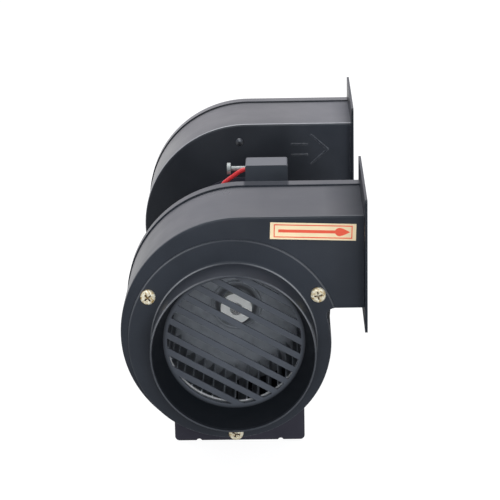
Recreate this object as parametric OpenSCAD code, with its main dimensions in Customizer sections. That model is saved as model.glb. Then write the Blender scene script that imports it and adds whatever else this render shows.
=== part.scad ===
// Twin centrifugal blower: two drawn scrolls on one shaft, with the motor between them.
// Millimetres. +X is the outlet direction, +Y runs along the shaft to the rear scroll, +Z is up.
// The origin is the middle of the base underside.

/* [Layout] */
// Height of the shaft axis above the underside of the base
axis_h = 98; // [90:1:130]
// Clear distance between the two scrolls
scroll_gap = 153.5; // [142:0.5:190]

/* [Scroll] */
// Depth of a scroll from its drawn face to the outside of its flat plate
scroll_depth = 76.5; // [70:0.5:95]
// Distance from the axis to the scroll wall on the outlet side
wall_right = 59.4; // [58:0.1:61]
// Distance from the axis to the scroll wall at the bottom
wall_bottom = 63.3; // [63:0.1:65]
// Distance from the axis to the scroll wall on the side away from the outlet
wall_left = 69.3; // [69:0.1:72]
// Distance from the axis to the top of the scroll
wall_top = 78.7; // [78:0.1:84]
// Radius of the first arc of the scroll, from the tongue to the bottom
first_arc_r = 61.2; // [61:0.1:62.2]
// Height of the underside of the outlet duct above the axis
duct_bottom = 20.4; // [18:0.2:23]
// Distance from the axis to the inside face of the outlet flange
duct_end = 79.2; // [76:0.2:90]
// Radius of the hollow corner at the scroll tongue
tongue_r = 4.5; // [3.5:0.5:6]
// Sheet thickness of the drawn shells
shell_t = 1.2; // [1:0.1:1.6]
// Outside radius of the drawn edge round a shell face
edge_r = 1.5; // [1.4:0.1:3]
// Sheet thickness of the flat scroll plates
plate_t = 1.2; // [1:0.1:1.6]
// Depth of the folded hem round a flat plate
hem_w = 9.5; // [6:0.5:14]
// How far the folded hem stands out from the shell wall
hem_proud = 0.9; // [0.8:0.1:1.8]
// Radius of the two rounded edges of the hem
hem_r = 0.4; // [0.2:0.1:0.4]

/* [Outlet flange] */
// Sheet thickness of an outlet flange
flange_t = 1.5; // [1:0.1:2.5]
// Width of the flange above the duct
flange_top = 14.4; // [12:0.1:20]
// Width of the flange below the duct
flange_bottom = 10.3; // [9:0.1:20]
// Width of the flange in front of the scroll
flange_front = 17.8; // [14:0.1:24]
// Width of the flange behind the scroll
flange_back = 9.2; // [7:0.1:24]
// Radius of the flange corners
flange_corner_r = 2; // [1:0.5:4]
// Diameter of the flange holes
flange_hole_d = 5; // [4:0.1:6]
// Distance from the flange's edges to its hole centres
flange_hole_inset = 6.5; // [5.5:0.1:7]

/* [Inlet] */
// Outside diameter of an inlet collar
collar_d = 100; // [96:0.5:102]
// Distance from the scroll face to the rim of the collar
collar_len = 25; // [18:0.5:50]
// Wall thickness of the collar
collar_t = 1.2; // [1:0.1:1.6]
// Diameter of the ring plate of the collar
ring_d = 130; // [129:0.5:134]
// Height of the ring plate above the scroll face
ring_t = 1.6; // [1.3:0.1:4]
// Radius of the rounded edge of the ring plate
ring_edge_r = 1; // [0.6:0.1:1.2]
// Radius of the bend between ring plate and collar
collar_bend_r = 2; // [1:0.1:3]
// Inside diameter of the collar's cone at the grille
cone_d = 87; // [86:0.5:94]
// How far behind the rim the cone starts
cone_set = 3; // [2:0.5:8]
// How far the ring plate stays inside the scroll outline
ring_margin = 0.4; // [0.2:0.1:1]
// Diameter of the inlet opening in the scroll face
inlet_d = 86; // [84:0.5:90]
// Thickness of an inlet grille
grille_t = 1.2; // [0.8:0.1:1.5]
// Diameter inside which the grille is slotted
slotted_d = 82; // [70:0.5:84]
// Distance between grille slots, centre to centre
slot_pitch = 9.05; // [8:0.05:12]
// Width of one grille slot
slot_w = 5.3; // [4:0.1:6]
// Slope of the grille slots, falling towards the outlet side
slot_angle = 30; // [0:1:60]
// Height of the slat nearest the axis above it, across the slots
slat_offset = 1.7; // [-4:0.1:4]

/* [Collar screws] */
// Diameter of the circle of collar screws
screw_circle_d = 119; // [117:0.1:120]
// Shank diameter of a collar screw
screw_d = 4; // [3:0.1:4.5]
// Head diameter of a collar screw
screw_head_d = 9.2; // [7:0.1:10]
// Head height of a collar screw
screw_head_h = 2.8; // [2:0.1:4]
// Length of a collar screw under its head
screw_len = 10; // [8:0.5:16]
// Length of the arms of a cross recess
recess_len = 5; // [3:0.1:6]
// Width of the arms of a cross recess
recess_w = 1; // [0.6:0.1:1.4]
// Depth of a cross recess
recess_depth = 1.4; // [0.8:0.1:1.8]

/* [Impeller] */
// Outside diameter of an impeller
impeller_d = 104; // [98:1:106]
// Inside diameter of the blade cage
cage_inner_d = 82; // [76:1:86]
// Number of blades on an impeller
blade_count = 36; // [24:1:42]
// Blade thickness
blade_t = 0.8; // [0.6:0.1:1.2]
// Radius of the blade curve
blade_curve_r = 11; // [10:0.5:14]
// Gap between the drawn face and the impeller's inlet ring
inlet_gap = 7; // [5:0.5:9]
// Gap between the impeller's back disc and the motor-side wall
disc_gap = 8; // [6:0.5:12]
// Thickness of the impeller's back disc
disc_t = 1.2; // [1:0.1:2]
// Height of the ring that ties the blades at the inlet side
cage_ring_h = 1.5; // [1:0.1:5]
// Radial width of the ring that ties the blades
cage_ring_w = 10; // [2:0.1:10.5]
// Diameter of an impeller hub
hub_d = 20; // [16:0.5:26]
// Length of a hub
hub_len = 13; // [10:0.5:16]
// Length of a hub behind the front of the back disc
hub_back = 5; // [4:0.1:6]
// Diameter of the raised bead round the hub on the back disc
bead_d = 31; // [28:0.5:40]
// Diameter of the hub's flange against the disc
hub_flange_d = 32; // [28:0.5:40]
// Thickness of the hub's flange
hub_flange_t = 2; // [1.5:0.1:3]
// Diameter of the set screw in a hub
set_screw_d = 4; // [3:0.1:4.5]

/* [Motor] */
// Outside diameter of the motor casing
motor_d = 88; // [84:0.5:92]
// Length of the motor casing tube
casing_len = 80; // [70:1:90]
// Wall thickness of the motor casing and end bells
motor_wall = 1.5; // [1.2:0.1:2]
// Depth to which an end bell's skirt enters the casing
skirt_len = 8; // [6:0.5:10]
// Diameter of the end bell's mounting face
bell_face_d = 72; // [70:0.5:76]
// Length of the straight neck of an end bell
bell_neck_len = 16; // [12:0.5:18]
// Diameter of the motor shaft
shaft_d = 8; // [6:0.5:10]
// Length of shaft that shows past an impeller hub
shaft_tip = 1; // [0.5:0.5:3]
// Radial running clearance of the shaft in its bearings
running_gap = 0.03; // [0.02:0.01:0.08]
// Outside diameter of a bearing
bearing_d = 22; // [19:1:26]
// Width of a bearing
bearing_w = 7; // [5:0.5:9]
// Wall thickness of a bearing seat
seat_wall = 2.5; // [2:0.1:4]
// Diameter of the stator bore
stator_bore_d = 48; // [40:0.5:54]
// Length of the stator core
stator_len = 46; // [40:1:52]
// Number of stator slots
stator_slots = 24; // [12:12:24]
// Radial air gap between rotor core and stator bore
air_gap = 0.5; // [0.4:0.1:1]
// Length of the winding past each end of the stator core
winding_overhang = 7; // [5:0.5:8]
// Diameter of the circle of motor screws
motor_screw_circle_d = 60; // [56:0.5:62]
// Shank diameter of a motor screw
motor_screw_d = 4; // [3:0.1:4.5]
// Length of a motor screw under its head
motor_screw_len = 8; // [7:0.5:10]

/* [Base bracket] */
// Width of the base bracket's uprights
foot_w = 85.8; // [80:0.1:96]
// Sheet thickness of the base bracket
bracket_t = 2; // [1.5:0.1:2.5]
// Distance between the two bend reliefs of an upright
relief_spacing = 54; // [50:0.5:60]
// Width of a bend relief
relief_w = 4; // [3:0.1:6]
// Height of a bend relief
relief_h = 1.1; // [0.8:0.1:1.5]
// Radius of the lower corners of an upright
foot_corner_r = 3; // [2:0.5:6]
// Radius of the rounded top of an upright
upright_top_r = 40; // [38:0.5:44]
// Diameter of the base's mounting holes
base_hole_d = 6.5; // [5:0.1:8]
// Distance between base holes across the shaft
base_hole_x = 34; // [28:0.5:36]
// Distance between base holes along the shaft
base_hole_y = 110; // [90:1:130]

/* [Terminals] */
// Width of the terminal block
block_w = 28.4; // [24:0.1:32]
// Depth of the terminal block along the shaft
block_depth = 21; // [16:0.5:26]
// Height of the terminal block's top above the axis
block_top = 72.5; // [68:0.5:74]
// Distance from the axis to the near end of the terminal block
block_x = 5.7; // [4:0.1:8]
// How far the terminal block sits ahead of the motor's middle
block_ahead = 2.2; // [0:0.1:4]
// Height of the terminal screw below the top of the block
post_drop = 4.7; // [3:0.1:6]
// Diameter of the terminal screw's shank
post_d = 3.2; // [2.5:0.1:4]
// Length of the terminal screw's shank outside the block
post_len = 10; // [6:0.5:12]
// Diameter of the red motor lead
lead_d = 3; // [2:0.1:3.2]

/* [Sticker] */
// Length of the direction sticker
sticker_len = 51.6; // [40:0.1:54]
// Height of the direction sticker
sticker_h = 10.4; // [8:0.1:14]
// Thickness of the direction sticker
sticker_t = 0.2; // [0.1:0.05:0.3]
// Tilt of the sticker, falling towards the outlet
sticker_tilt = 2; // [0:0.5:3]

/* [Hidden] */
$fn = 64;
fit_gap = 0.1;
press_gap = 0.02;
cut_over = 1;
hem_step = 0.15;
sweep_trim = 0.5;
tongue_lap = 0.03;
blade_inset = 0.4;
front_face_y = -scroll_gap/2 - scroll_depth;
rear_face_y = scroll_gap/2;
shell_len = scroll_depth - plate_t;

// The scroll is three tangent arcs that open up clockwise, then the outlet duct
arc1_x = wall_right - first_arc_r;
arc1_z = first_arc_r - wall_bottom;
arc2_r = wall_left + arc1_x;
arc2_z = arc2_r - wall_bottom;
arc3_r = wall_top - arc2_z;
arc3_x = arc3_r - wall_left;
tongue_z = duct_bottom - tongue_r;
tongue_reach = first_arc_r + tongue_r;
tongue_x = arc1_x + sqrt(pow(tongue_reach, 2) - pow(tongue_z - arc1_z, 2));
tongue_a = asin((tongue_z - arc1_z)/tongue_reach);

flange_low = duct_bottom - flange_bottom;
flange_high = wall_top + flange_top;
flange_len = scroll_depth + flange_front + flange_back;
flange_hole_y = flange_len - 2*flange_hole_inset;
flange_hole_z = flange_high - flange_low - 2*flange_hole_inset;

collar_r = collar_d/2;
collar_bore_r = collar_r - collar_t;
screw_clear = 0.2;
rivet_z = 65.7;
rivet_r = 2.8;
rivet_h = 1.3;
rivet_flat = 0.1;
rivet_dome_r = (pow(rivet_r, 2) + pow(rivet_h, 2))/(2*rivet_h);

cage_r = impeller_d/2;
cage_inner_r = cage_inner_d/2;
cage_len = shell_len - inlet_gap - disc_gap;
shaft_r = shaft_d/2;
hub_y = scroll_gap/2 + plate_t + disc_gap - hub_back;
shaft_end_y = hub_y + hub_len + shaft_tip;
set_screw_edge = 0.6;
bead_lap = 0.1;

motor_r = motor_d/2;
bell_y = scroll_gap/2 - bracket_t;
neck_y = bell_y - bell_neck_len;
casing_end = casing_len/2;
seat_r = bearing_d/2;
shaft_clear = 2;
shaft_hole_r = shaft_r + shaft_clear;
bearing_y = bell_y - motor_wall - bearing_w;
stator_r = motor_r - motor_wall - fit_gap;
bell_screw_d = 3;
bell_screw_head_d = 6;
bell_screw_head_h = 2;
pilot_r = seat_r + seat_wall;

block_mid_x = block_x + block_w/2;
post_z = block_top - post_drop;
post_head_d = 7.8;
post_head_h = 2.4;
post_depth = 6;
block_wall_r = 1.5;

// The red lead leaves the block under its screw and goes down into the casing's grommet
lead_path = [[8, 68.6], [5.7, 68.5], [3.6, 67.9], [1.2, 66.6], [-2, 64.3], [-5.2, 62], [-8.4, 59.6],
             [-11, 56.4], [-12.5, 52], [-13, 47.5], [-13, 44], [-13, 41.6]];
lead_y = -7.2;
lead_route = [for (p = lead_path) [p[0], lead_y, p[1]]];
lead_sides = 16;
lead_x = -13;
grommet_r = 3.6;
grommet_hole_r = 2.6;
grommet_h = 3;

arrow_tip_x = 62.7;
arrow_z = 59.7;
arrow_line = 1.2;
arrow_raise = 0.7;
sticker_x = 48.8;
sticker_z = 69.1;

black_paint = "#26292e";
yellow_zinc = "#c9a94f";
bright_steel = "#b9bcc0";
aluminium_grey = "#c8cacc";

// Extrudes an outline drawn in X and Z, from y to y + t
module slab(y, t) {
    translate([0, y + t, 0])
        rotate([90, 0, 0])
            linear_extrude(t) children();
}

// Turns a profile of radius and Y about the shaft axis
module turned() {
    rotate([-90, 0, 0])
        rotate_extrude() children();
}

// A straight cylinder along Y, from y to y + len
module rod_y(r, y, len) {
    translate([0, y, 0])
        rotate([-90, 0, 0])
            cylinder(r = r, h = len);
}

// Repeats a piece round the shaft axis, the first copy at angle start from +X
module round_axis(count, start) {
    for (i = [0:count - 1])
        rotate([0, -start - 360*i/count, 0]) children();
}

// Sets a piece in the frame of the front scroll: axis at the origin, drawn face at y = 0
module in_front_scroll() {
    translate([0, front_face_y, axis_h]) children();
}

// The same for the rear scroll, which faces the same way
module in_rear_scroll() {
    translate([0, rear_face_y, axis_h]) children();
}

// Turns an inlet piece round, on to the outside of the rear scroll's flat plate
module on_rear_inlet() {
    translate([0, rear_face_y + scroll_depth, axis_h])
        mirror([0, 1, 0]) children();
}

// Outline of the scroll, moved outwards by grow, with a core that its arcs lap over
module scroll_outline(grow) {
    top = wall_top + grow;
    low = duct_bottom - grow;
    left = wall_left + grow;
    bottom = wall_bottom + grow;
    circle(wall_right/2);
    intersection() {
        translate([arc1_x, arc1_z])
            circle(first_arc_r + grow);
        translate([arc1_x, -bottom])
            square([first_arc_r + grow, bottom + low + tongue_r]);
    }
    intersection() {
        translate([arc1_x, arc2_z])
            circle(arc2_r + grow);
        translate([-left, -bottom])
            square([left + arc1_x, bottom + arc2_z]);
    }
    intersection() {
        translate([arc3_x, arc2_z])
            circle(arc3_r + grow);
        translate([-left, arc2_z])
            square([left + arc3_x, top - arc2_z]);
    }
    translate([arc3_x, low])
        square([duct_end - arc3_x, top - low]);
    tongue_fill(grow);
}

// Fills the hollow corner between the first arc and the duct, lapping a little over both
module tongue_fill(grow) {
    start_r = first_arc_r + grow - shell_t;
    low = duct_bottom - grow;
    difference() {
        polygon([[arc1_x + start_r*cos(tongue_a), arc1_z + start_r*sin(tongue_a)],
                 [tongue_x, tongue_z],
                 [tongue_x, low + shell_t],
                 [tongue_x - tongue_reach/4, low + tongue_r]]);
        translate([tongue_x, tongue_z])
            circle(tongue_r - grow - tongue_lap);
    }
}

// Sweeps a profile round one arc of the scroll, from angle a to angle b
module arc_sweep(x, z, r, a, b) {
    translate([x, 0, z])
        rotate([90, 0, 0])
            rotate([0, 0, a])
                rotate_extrude(angle = b - a)
                    mirror([0, 1])
                        translate([r, 0]) children();
}

// Sweeps a profile along a level wall of the duct, from x to the flange
module duct_sweep(x, z) {
    translate([x, 0, 0])
        rotate([90, 0, 90])
            linear_extrude(duct_end - x)
                mirror([1, -1])
                    translate([z, 0]) children();
}

// Sweeps a profile round the scroll and along the top of the duct, from just before the tongue;
// in it, x = 0 is the wall's outside and y the depth
module wall_sweep() {
    arc_sweep(arc1_x, arc1_z, first_arc_r, -90, tongue_a - sweep_trim) children();
    arc_sweep(arc1_x, arc2_z, arc2_r, 180, 270) children();
    arc_sweep(arc3_x, arc2_z, arc3_r, 90, 180) children();
    duct_sweep(arc3_x, wall_top) children();
}

// Outline of the scroll wall, open at the duct's end
module wall_band() {
    difference() {
        scroll_outline(0);
        scroll_outline(-shell_t);
        translate([duct_end - shell_t, duct_bottom + shell_t])
            square([2*shell_t, wall_top - duct_bottom - 2*shell_t]);
    }
}

// Tongue and underside of the duct, where the drawn edge is sharp
module sharp_zone() {
    x = arc1_x + (first_arc_r - edge_r)*cos(tongue_a) - edge_r;
    z = arc1_z + first_arc_r*sin(tongue_a) - edge_r;
    translate([x, z])
        square([duct_end - x, duct_bottom + edge_r + hem_step - z]);
}

// Section of the drawn round edge between wall and face
module edge_profile() {
    intersection() {
        translate([-edge_r, edge_r])
            difference() {
                circle(edge_r);
                circle(edge_r - shell_t);
            }
        translate([-edge_r, 0])
            square(edge_r);
    }
}

// Section of the folded hem with its two round edges, from depth start
module hem_profile(start) {
    translate([fit_gap, start])
        square([hem_proud - hem_r - fit_gap, hem_w]);
    translate([fit_gap, start + hem_r])
        square([hem_proud - fit_gap, hem_w - 2*hem_r]);
    for (y = [start + hem_r, scroll_depth - hem_r])
        translate([hem_proud - hem_r, y])
            circle(hem_r);
}

// Drawn shell: face, round edge, scroll wall and duct; children are the holes in its face
module drawn_shell() {
    difference() {
        union() {
            slab(edge_r, shell_len - edge_r) wall_band();
            slab(0, edge_r)
                intersection() {
                    wall_band();
                    sharp_zone();
                }
            wall_sweep() edge_profile();
            slab(0, shell_t) {
                scroll_outline(-edge_r);
                intersection() {
                    scroll_outline(0);
                    sharp_zone();
                }
            }
        }
        slab(-shell_t, edge_r + shell_t) children();
    }
}

// Flat plate with its hem folded round the shell; children are the holes in the plate
module flat_plate() {
    start = scroll_depth - hem_w;
    wall_sweep() hem_profile(start);
    slab(start + hem_step, hem_w - 2*hem_step)
        intersection() {
            difference() {
                scroll_outline(hem_proud - hem_step);
                scroll_outline(fit_gap + hem_step);
            }
            sharp_zone();
        }
    slab(shell_len, plate_t)
        difference() {
            scroll_outline((hem_proud - hem_r)/2);
            children();
        }
}

// Holes where a scroll is held to the motor, with room for the shaft and bearing seat
module motor_holes() {
    circle(pilot_r + fit_gap);
    for (i = [0:3])
        rotate(45 + 90*i)
            translate([motor_screw_circle_d/2, 0])
                circle(motor_screw_d/2 + screw_clear);
}

// Holes where an inlet is let in and its collar screwed on
module inlet_holes() {
    circle(inlet_d/2);
    for (i = [0:2])
        rotate(30 + 120*i)
            translate([screw_circle_d/2, 0])
                circle(screw_d/2 + screw_clear);
}

// Flat frame welded to the end of the duct
module outlet_flange() {
    inner_h = wall_top - duct_bottom - 2*shell_t;
    translate([duct_end, 0, 0])
        rotate([90, 0, 90])
            linear_extrude(flange_t)
                difference() {
                    rounded_box(-flange_front, flange_low, flange_len, flange_high - flange_low, flange_corner_r);
                    translate([shell_t, duct_bottom + shell_t])
                        square([shell_len - shell_t, inner_h]);
                    for (iy = [-1, 1], iz = [-1, 1])
                        translate([flange_len/2 - flange_front + iy*flange_hole_y/2,
                                   (flange_low + flange_high)/2 + iz*flange_hole_z/2])
                            circle(flange_hole_d/2);
                }
}

// Rectangle from (x, y), with four round corners
module rounded_box(x, y, w, h, r) {
    translate([x + r, y])
        square([w - 2*r, h]);
    translate([x, y + r])
        square([w, h - 2*r]);
    for (cx = [x + r, x + w - r], cy = [y + r, y + h - r])
        translate([cx, cy])
            circle(r);
}

// Section of ring plate, bend, collar and the cone that holds the grille, in radius and Y
module collar_profile() {
    ring_r = ring_d/2;
    rim_r = collar_t/2;
    translate([collar_bore_r, -ring_t])
        square([ring_r - ring_edge_r - collar_bore_r, ring_t]);
    translate([ring_r - ring_edge_r, ring_edge_r - ring_t])
        square([ring_edge_r, ring_t - ring_edge_r]);
    intersection() {
        translate([ring_r - ring_edge_r, ring_edge_r - ring_t])
            circle(ring_edge_r);
        translate([ring_r - ring_edge_r, -ring_t])
            square(ring_edge_r);
    }
    translate([collar_bore_r, rim_r - collar_len])
        square([collar_t, collar_len - rim_r - ring_t]);
    translate([collar_bore_r + rim_r, rim_r - collar_len])
        circle(rim_r);
    polygon([[collar_bore_r, cone_set - collar_len], [collar_bore_r + rim_r, cone_set - collar_len],
             [cone_d/2 + collar_t, -grille_t], [cone_d/2, -grille_t]]);
    difference() {
        translate([collar_r, -ring_t - collar_bend_r])
            square(collar_bend_r);
        translate([collar_r + collar_bend_r, -ring_t - collar_bend_r])
            circle(collar_bend_r);
    }
}

// Collar with its ring plate, trimmed to the scroll outline
module inlet_collar() {
    difference() {
        intersection() {
            turned() collar_profile();
            slab(-collar_len, collar_len)
                scroll_outline(-ring_margin);
        }
        round_axis(3, 30)
            translate([screw_circle_d/2, 0, 0])
                rod_y(screw_d/2 + screw_clear, -2*ring_t, 3*ring_t);
    }
}

// Round plate with slanted slots, inside the collar
module inlet_grille() {
    slots = ceil(slotted_d/slot_pitch);
    slab(-grille_t, grille_t)
        difference() {
            circle(collar_bore_r - fit_gap);
            intersection() {
                circle(slotted_d/2);
                rotate(-slot_angle)
                    for (i = [-slots:slots])
                        translate([-slotted_d/2, slat_offset + (i + 0.5)*slot_pitch - slot_w/2])
                            square([slotted_d, slot_w]);
            }
        }
}

// Pan-head screw along Y with its head's underside at y = 0 and its shank towards +Y
module pan_screw(shank_d, len, head_d, head_h) {
    crown_r = head_h/2;
    difference() {
        union() {
            rod_y(shank_d/2, 0, len);
            turned() {
                translate([0, -head_h])
                    square([head_d/2 - crown_r, head_h]);
                translate([0, crown_r - head_h])
                    square([head_d/2, head_h - crown_r]);
                intersection() {
                    translate([head_d/2 - crown_r, crown_r - head_h])
                        circle(crown_r);
                    translate([head_d/2 - crown_r, -head_h])
                        square(crown_r);
                }
            }
        }
        for (a = [0, 90])
            rotate([0, a + 20, 0])
                translate([-recess_len/2, -head_h - recess_depth, -recess_w/2])
                    cube([recess_len, 2*recess_depth, recess_w]);
    }
}

// The three screws that hold a collar on its scroll
module collar_screws() {
    round_axis(3, 30)
        translate([screw_circle_d/2, -ring_t, 0])
            pan_screw(screw_d, screw_len, screw_head_d, screw_head_h);
}

// The four screws that hold a scroll and the bracket on an end bell, heads at y = 0 in the scroll
module motor_screws() {
    round_axis(4, 45)
        translate([motor_screw_circle_d/2, 0, 0])
            difference() {
                union() {
                    rod_y(motor_screw_d/2, 0, motor_screw_len);
                    rod_y(motor_screw_d, -motor_screw_d*0.6, motor_screw_d*0.6);
                }
                translate([-recess_len/2, -motor_screw_d, -recess_w/2])
                    cube([recess_len, motor_screw_d/2, recess_w]);
            }
}

// Outline of one forward-curved blade, at the top of the cage; it turns towards +X
module blade_outline() {
    intersection() {
        translate([blade_curve_r, cage_inner_r])
            difference() {
                circle(blade_curve_r);
                circle(blade_curve_r - blade_t);
            }
        difference() {
            circle(cage_r - blade_inset);
            circle(cage_inner_r);
        }
        translate([-blade_t, cage_inner_r - blade_t])
            square([blade_curve_r, cage_r]);
    }
}

// Squirrel-cage wheel in the front scroll's frame: back disc, blades and inlet ring
module impeller() {
    disc_y = inlet_gap + cage_len;
    difference() {
        slab(disc_y, disc_t)
            circle(cage_r);
        rod_y(hub_d/2 + fit_gap, disc_y - disc_t, 3*disc_t);
    }
    turned()
        translate([bead_d/2, disc_y])
            circle(disc_t - bead_lap);
    slab(inlet_gap + blade_inset, cage_len + disc_t/2 - blade_inset)
        for (i = [0:blade_count - 1])
            rotate(360*i/blade_count) blade_outline();
    slab(inlet_gap, cage_ring_h)
        difference() {
            circle(cage_r);
            circle(cage_r - cage_ring_w);
        }
}

// Turned hub with its flange behind the back disc, in the front scroll's frame
module hub() {
    disc_y = inlet_gap + cage_len;
    start = scroll_depth + scroll_gap/2 - hub_y - hub_len;
    difference() {
        union() {
            rod_y(hub_d/2, start, hub_len);
            rod_y(hub_flange_d/2, disc_y + disc_t, hub_flange_t);
        }
        rod_y(shaft_r + press_gap, start - cut_over, hub_len + 2*cut_over);
        translate([0, start + set_screw_edge + set_screw_d/2, 0])
            cylinder(r = set_screw_d/2, h = hub_d);
    }
}

// Set screw through the hub wall, its point on the shaft
module set_screw() {
    start = scroll_depth + scroll_gap/2 - hub_y - hub_len;
    translate([0, start + set_screw_edge + set_screw_d/2, shaft_r + press_gap])
        cylinder(r = set_screw_d/2 - fit_gap, h = hub_d/2 - shaft_r - press_gap);
}

// The rear scroll's wheel and hub are the front ones turned round about the middle
module for_rear() {
    mirror([0, 1, 0]) children();
}

// Drawn end bell at +Y, in the frame of the shaft axis
module end_bell() {
    face_r = bell_face_d/2;
    neck_r = face_r - motor_wall;
    skirt_r = motor_r - motor_wall - fit_gap;
    difference() {
        turned() {
            polygon([[shaft_hole_r, bell_y], [face_r, bell_y], [face_r, neck_y],
                     [motor_r, casing_end], [skirt_r, casing_end],
                     [skirt_r, casing_end - skirt_len],
                     [skirt_r - motor_wall, casing_end - skirt_len],
                     [skirt_r - motor_wall, casing_end], [neck_r, neck_y],
                     [neck_r, bell_y - motor_wall], [pilot_r, bell_y - motor_wall],
                     [pilot_r, bearing_y], [seat_r + press_gap, bearing_y],
                     [seat_r + press_gap, bell_y - motor_wall],
                     [shaft_hole_r, bell_y - motor_wall]]);
        }
        round_axis(4, 45)
            translate([motor_screw_circle_d/2, 0, 0])
                rod_y(motor_screw_d/2 + fit_gap, bell_y - 2*motor_wall, 3*motor_wall);
        round_axis(4, 0)
            bell_screw_hole();
    }
}

// Radial hole through casing and bell skirt for one casing screw
module bell_screw_hole() {
    translate([motor_r/2, casing_end - skirt_len/2, 0])
        rotate([0, 90, 0])
            cylinder(r = bell_screw_d/2 + fit_gap, h = motor_r);
}

// Ball bearing as one ring with the grooves of its two shields
module bearing() {
    inner_r = shaft_r + running_gap;
    groove = bearing_w/10;
    difference() {
        turned()
            translate([inner_r, bearing_y])
                square([seat_r - inner_r, bearing_w]);
        for (y = [bearing_y - groove, bearing_y + bearing_w - groove])
            turned()
                translate([inner_r + seat_wall/2, y])
                    square([seat_r - inner_r - seat_wall, 2*groove]);
    }
}

// One radial casing screw at +Y, on the +X side
module casing_screw() {
    shank = 2*motor_wall + bell_screw_head_h;
    translate([motor_r - 2*motor_wall - fit_gap, casing_end - skirt_len/2, 0])
        rotate([0, 90, 0])
            cylinder(r = bell_screw_d/2, h = shank);
    translate([motor_r, casing_end - skirt_len/2, 0])
        rotate([0, 90, 0])
            cylinder(r = bell_screw_head_d/2, h = bell_screw_head_h);
}

// Upright of the bracket, from the ground to round the motor's end
module upright_outline() {
    notch = relief_w/2;
    difference() {
        union() {
            circle(upright_top_r);
            polygon([[-foot_w/2, foot_corner_r - axis_h], [-foot_w/2, -axis_h/2],
                     [-upright_top_r, 0], [upright_top_r, 0],
                     [foot_w/2, -axis_h/2], [foot_w/2, foot_corner_r - axis_h]]);
            translate([-foot_w/2 + foot_corner_r, -axis_h])
                square([foot_w - 2*foot_corner_r, 2*foot_corner_r]);
            for (s = [-1, 1])
                translate([s*(foot_w/2 - foot_corner_r), foot_corner_r - axis_h])
                    circle(foot_corner_r);
        }
        motor_holes();
        for (s = [-1, 1])
            translate([s*relief_spacing/2, relief_h - notch - axis_h])
                circle(notch);
    }
}

// Ring of points round one point of the lead, square to its direction in the X-Z plane
function lead_ring(i) =
    let (last = len(lead_route) - 1,
         a = lead_route[max(i - 1, 0)],
         b = lead_route[min(i + 1, last)],
         d = (b - a)/norm(b - a),
         side = [-d[2], 0, d[0]])
    [for (k = [0:lead_sides - 1])
        lead_route[i] + lead_d/2*(cos(360*k/lead_sides)*side + sin(360*k/lead_sides)*[0, 1, 0])];

module front_shell() {
    color(black_paint)
        in_front_scroll()
            drawn_shell() inlet_holes();
}

module front_back_plate() {
    color(black_paint)
        in_front_scroll()
            flat_plate() motor_holes();
}

module front_outlet_flange() {
    color(black_paint)
        in_front_scroll() outlet_flange();
}

module front_inlet_collar() {
    color(black_paint)
        in_front_scroll() inlet_collar();
}

module front_inlet_grille() {
    color(black_paint)
        in_front_scroll() inlet_grille();
}

module front_collar_screws() {
    color(yellow_zinc)
        in_front_scroll() collar_screws();
}

module front_motor_screws() {
    color(bright_steel)
        in_front_scroll()
            translate([0, shell_len, 0]) motor_screws();
}

module front_impeller() {
    color(aluminium_grey)
        in_front_scroll() impeller();
}

module front_hub() {
    color(aluminium_grey)
        in_front_scroll() hub();
}

module front_set_screw() {
    color(black_paint)
        in_front_scroll() set_screw();
}

// The rear shell is the same drawing, with the motor at its face and a raised arrow beside it
module rear_shell() {
    color(black_paint)
        in_rear_scroll()
            difference() {
                union() {
                    drawn_shell() motor_holes();
                    raised_arrow();
                }
                translate([0, 0, rivet_z])
                    rod_y(rivet_r/2 + fit_gap, -shell_t, 3*shell_t);
            }
}

// Outline arrow that shows the way of the air
module raised_arrow() {
    barb = 12;
    shaft_half = 3.9;
    shaft_from = 26;
    slab(-arrow_raise, arrow_raise)
        translate([arrow_tip_x, arrow_z])
            for (s = [-1, 1]) {
                rotate(180 - s*42)
                    translate([0, -arrow_line/2])
                        square([barb*4/3, arrow_line]);
                translate([-shaft_from, s*shaft_half - arrow_line/2])
                    square([barb, arrow_line]);
            }
}

module rear_inlet_plate() {
    color(black_paint)
        in_rear_scroll()
            flat_plate() inlet_holes();
}

module rear_outlet_flange() {
    color(black_paint)
        in_rear_scroll() outlet_flange();
}

module rear_inlet_collar() {
    color(black_paint)
        on_rear_inlet() inlet_collar();
}

module rear_inlet_grille() {
    color(black_paint)
        on_rear_inlet() inlet_grille();
}

module rear_collar_screws() {
    color(yellow_zinc)
        on_rear_inlet() collar_screws();
}

module rear_motor_screws() {
    color(bright_steel)
        in_rear_scroll()
            translate([0, shell_t, 0])
                mirror([0, 1, 0]) motor_screws();
}

module rear_impeller() {
    color(aluminium_grey)
        for_rear()
            in_front_scroll() impeller();
}

module rear_hub() {
    color(aluminium_grey)
        for_rear()
            in_front_scroll() hub();
}

module rear_set_screw() {
    color(black_paint)
        for_rear()
            in_front_scroll() set_screw();
}

// Domed blind rivet on the rear shell's face
module rear_rivet() {
    color(black_paint)
        in_rear_scroll()
            translate([0, 0, rivet_z]) {
                rod_y(rivet_r/2, -rivet_h/2, rivet_h/2 + 2*shell_t);
                turned()
                    intersection() {
                        translate([0, rivet_dome_r - rivet_h])
                            circle(rivet_dome_r);
                        translate([0, rivet_flat - rivet_h])
                            square([rivet_r, rivet_h - rivet_flat]);
                    }
            }
}

// Bent sheet: two uprights and the base between them
module base_bracket() {
    base_w = relief_spacing - relief_w;
    color(black_paint) {
        translate([0, 0, axis_h])
            for (y = [-scroll_gap/2, scroll_gap/2 - bracket_t])
                slab(y, bracket_t) upright_outline();
        difference() {
            translate([-base_w/2, -bell_y, 0])
                cube([base_w, 2*bell_y, bracket_t]);
            for (sx = [-1, 1], sy = [-1, 1])
                translate([sx*base_hole_x/2, sy*base_hole_y/2, -bracket_t])
                    cylinder(r = base_hole_d/2, h = 3*bracket_t);
        }
    }
}

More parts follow.
